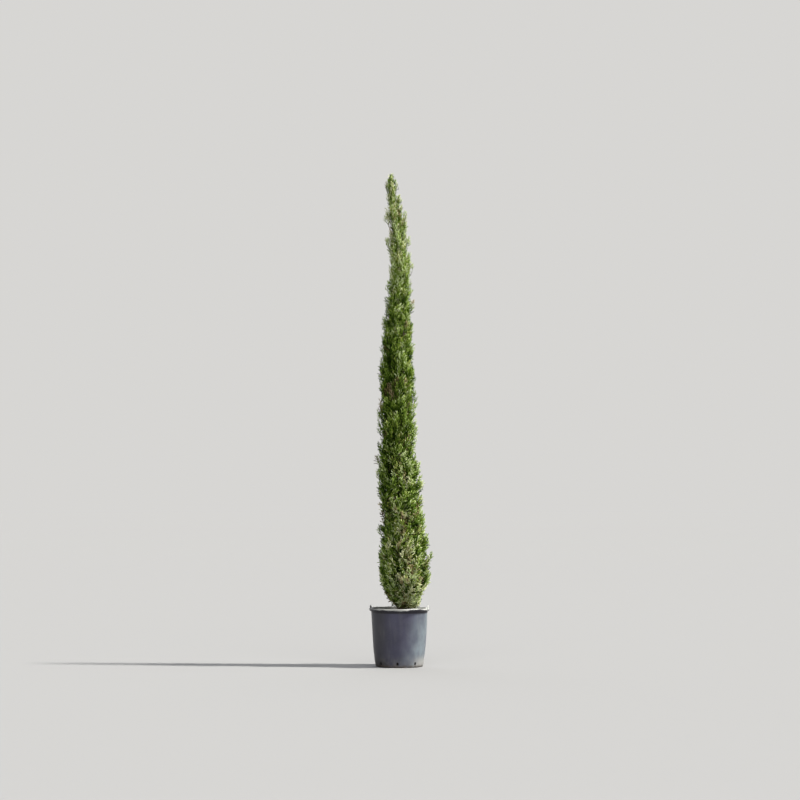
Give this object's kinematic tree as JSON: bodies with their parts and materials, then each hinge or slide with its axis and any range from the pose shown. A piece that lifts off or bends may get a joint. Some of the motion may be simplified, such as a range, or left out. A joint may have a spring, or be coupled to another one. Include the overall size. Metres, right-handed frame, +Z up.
{
  "type": "italian cypress tree",
  "caption": "Narrow, column-shaped evergreen conifer with close upright plumes of scale-leaved foliage, standing in a round nursery pot.",
  "frame": {"origin": "centre of the pot's flat underside, on the floor", "axes": "+Z up along the tree, -Y towards the front, +X to the right seen from the front"},
  "size_m": [0.3838, 0.367, 3],
  "materials": {
    "pot_plastic": "matt, dusty, scuffed recycled plastic",
    "compost": "crumbly, dry on top",
    "bark": "fibrous, grey-brown, in thin upright strips",
    "foliage": "scale leaves, matt, olive to yellow-green with paler tips"
  },
  "bodies": {
    "root": {"foot_stem_1": "bark", "foot_stem_2": "bark", "foot_stem_3": "bark", "foot_stem_4": "bark", "foot_stem_5": "bark", "leader_plume": "foliage", "plume_01": "foliage", "plume_02": "foliage", "plume_03": "foliage", "plume_04": "foliage", "plume_05": "foliage", "plume_06": "foliage", "plume_07": "foliage", "plume_08": "foliage", "plume_09": "foliage", "plume_10": "foliage", "plume_11": "foliage", "plume_12": "foliage", "plume_13": "foliage", "plume_14": "foliage", "plume_15": "foliage", "plume_16": "foliage", "plume_17": "foliage", "plume_18": "foliage", "plume_19": "foliage", "plume_20": "foliage", "plume_21": "foliage", "plume_22": "foliage", "plume_23": "foliage", "plume_24": "foliage", "plume_25": "foliage", "plume_26": "foliage", "plume_27": "foliage", "plume_28": "foliage", "plume_29": "foliage", "pot": "pot_plastic", "root_ball": "compost", "side_tip": "foliage", "trunk": "bark"}
  },
  "joints": []
}
